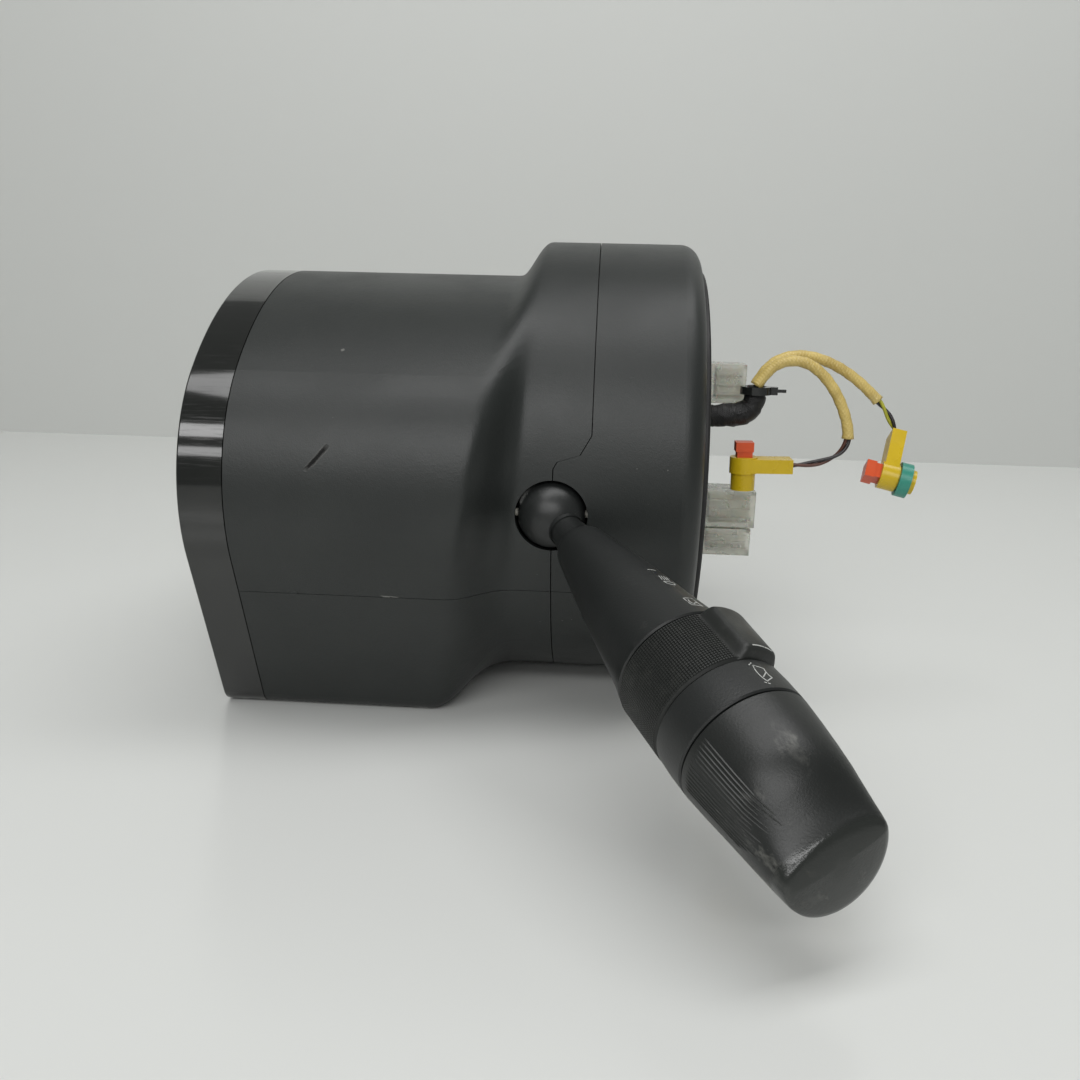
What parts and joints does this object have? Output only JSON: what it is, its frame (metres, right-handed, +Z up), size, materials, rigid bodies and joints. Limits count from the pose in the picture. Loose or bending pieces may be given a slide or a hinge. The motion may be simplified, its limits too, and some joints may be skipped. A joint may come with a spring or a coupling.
{
  "type": "steering column switch module",
  "caption": "Steering column module: covers, wiper and light stalks, clock spring with airbag leads, and a geared steering angle sensor inside.",
  "frame": {"origin": "on the steering column's axis, at the switch base's front face, in the plane of the two stalk pivots", "axes": "+X along the column axis to the driver, +Z up, +Y to the light stalk's side"},
  "size_m": [0.2194, 0.392, 0.1505],
  "materials": {
    "cover_plastic": "fine grained, satin",
    "trim_gloss": "glossy black",
    "base_plastic": "glass-filled, matt",
    "case_plastic": "smooth moulded",
    "carrier_plastic": "natural acetal",
    "stalk_plastic": "soft satin, worn",
    "circuit_board": "solder mask",
    "socket_plastic": "milky natural nylon",
    "steel": "zinc plated",
    "spring_steel": "drawn wire",
    "magnet": "sintered ferrite",
    "ribbon_film": "polyimide film with copper tracks",
    "cloth_tape": "woven harness tape",
    "yellow_sleeve": "soft sleeving",
    "wire_insulation": "smooth insulation",
    "yellow_plug": "moulded",
    "orange_lock": "moulded",
    "green_ring": "moulded"
  },
  "bodies": {
    "module": {"upper_column_cover": "cover_plastic", "lower_column_cover": "cover_plastic", "end_trim_band": "trim_gloss", "front_ring_upper": "cover_plastic", "front_ring_lower": "cover_plastic", "cover_screws": "steel", "switch_base": "base_plastic", "clamp_band": "steel", "clamp_screw": "steel", "wiper_switch_case": "case_plastic", "wiper_switch_lid": "case_plastic", "wiper_contact_board": "circuit_board", "light_switch_case": "case_plastic", "light_switch_lid": "case_plastic", "light_contact_board": "circuit_board", "sensor_housing": "base_plastic", "sensor_lid": "base_plastic", "sensor_board": "circuit_board", "clock_spring_housing": "base_plastic", "module_screws": "steel", "spiral_ribbon_cable": "ribbon_film"},
    "rotor": {"rotor_disc": "base_plastic", "rotor_sleeve": "base_plastic", "sensor_main_gear": "carrier_plastic", "airbag_socket": "socket_plastic", "horn_socket": "socket_plastic", "heater_socket": "socket_plastic", "harness_boot": "cloth_tape", "squib_sleeve_a": "yellow_sleeve", "squib_sleeve_b": "yellow_sleeve", "squib_wires_a": "wire_insulation", "squib_wires_b": "wire_insulation", "cable_tie": "trim_gloss", "squib_plug_a": "yellow_plug", "squib_plug_b": "yellow_plug", "squib_ring_b": "green_ring"},
    "sensor_pinion_a": {"sensor_pinion_a": "carrier_plastic", "pinion_magnet_a": "magnet"},
    "sensor_pinion_b": {"sensor_pinion_b": "carrier_plastic", "pinion_magnet_b": "magnet"},
    "squib_lock_a": {"squib_lock_a": "orange_lock"},
    "squib_lock_b": {"squib_lock_b": "orange_lock"},
    "wiper_carrier": {"wiper_carrier": "carrier_plastic", "wiper_detent_plunger": "steel", "wiper_detent_spring": "spring_steel"},
    "light_carrier": {"light_carrier": "carrier_plastic", "light_detent_plunger": "steel", "light_detent_spring": "spring_steel"},
    "wiper_lever": {"wiper_lever": "stalk_plastic", "wiper_collar": "stalk_plastic", "wiper_end_cap": "stalk_plastic"},
    "light_lever": {"light_lever": "stalk_plastic", "light_collar": "stalk_plastic"},
    "wiper_ring": {"wiper_ring": "stalk_plastic"},
    "light_ring": {"light_ring": "stalk_plastic"},
    "light_end_cap": {"light_end_cap": "stalk_plastic"}
  },
  "joints": [
    {"name": "rotor_spin", "type": "hinge", "parent": "module", "child": "rotor", "pos_m": [0.0462, 0, 0], "axis": [1, 0, 0], "range_deg": [-900, 900]},
    {"name": "pinion_a_spin", "type": "hinge", "parent": "module", "child": "sensor_pinion_a", "pos_m": [0.01, -0.01713, 0.03848], "axis": [1, 0, 0], "range_deg": [-2260, 2260]},
    {"name": "pinion_b_spin", "type": "hinge", "parent": "module", "child": "sensor_pinion_b", "pos_m": [0.01, 0.01754, 0.03939], "axis": [1, 0, 0], "range_deg": [-2090, 2090]},
    {"name": "wiper_swing", "type": "hinge", "parent": "module", "child": "wiper_carrier", "pos_m": [0, -0.0696, -0.006], "axis": [-1, 0, 0], "range_deg": [-5, 15]},
    {"name": "wiper_pull", "type": "hinge", "parent": "wiper_carrier", "child": "wiper_lever", "pos_m": [0, -0.0696, -0.006], "axis": [0, 0, 1], "range_deg": [0, 5], "stiffness_Nm_per_rad": 1.5},
    {"name": "wiper_ring_turn", "type": "hinge", "parent": "wiper_lever", "child": "wiper_ring", "pos_m": [0.03454, -0.13191, -0.0288], "axis": [0.4617, -0.833, -0.3049], "range_deg": [-20, 20]},
    {"name": "light_swing", "type": "hinge", "parent": "module", "child": "light_carrier", "pos_m": [0, 0.0696, -0.006], "axis": [1, 0, 0], "range_deg": [-8, 8]},
    {"name": "light_pull", "type": "hinge", "parent": "light_carrier", "child": "light_lever", "pos_m": [0, 0.0696, -0.006], "axis": [0, 0, -1], "range_deg": [0, 5], "stiffness_Nm_per_rad": 1.5},
    {"name": "light_ring_turn", "type": "hinge", "parent": "light_lever", "child": "light_ring", "pos_m": [0.02775, 0.13828, -0.01641], "axis": [0.371, 0.9182, -0.1392], "range_deg": [-15, 15]},
    {"name": "light_knob_turn", "type": "hinge", "parent": "light_lever", "child": "light_end_cap", "pos_m": [0.04377, 0.17794, -0.02242], "axis": [0.371, 0.9182, -0.1392], "range_deg": [0, 40]},
    {"name": "squib_lock_a_press", "type": "slide", "parent": "rotor", "child": "squib_lock_a", "axis": [-0.02, 0, 0.9998], "range_m": [-0.0012, 0]},
    {"name": "squib_lock_b_press", "type": "slide", "parent": "rotor", "child": "squib_lock_b", "axis": [-0.9684, 0.1413, 0.2055], "range_m": [-0.0012, 0]}
  ],
  "couplings": [
    {"joint": "pinion_a_spin", "follows": "rotor_spin", "ratio": -2.5},
    {"joint": "pinion_b_spin", "follows": "rotor_spin", "ratio": -2.3077}
  ]
}
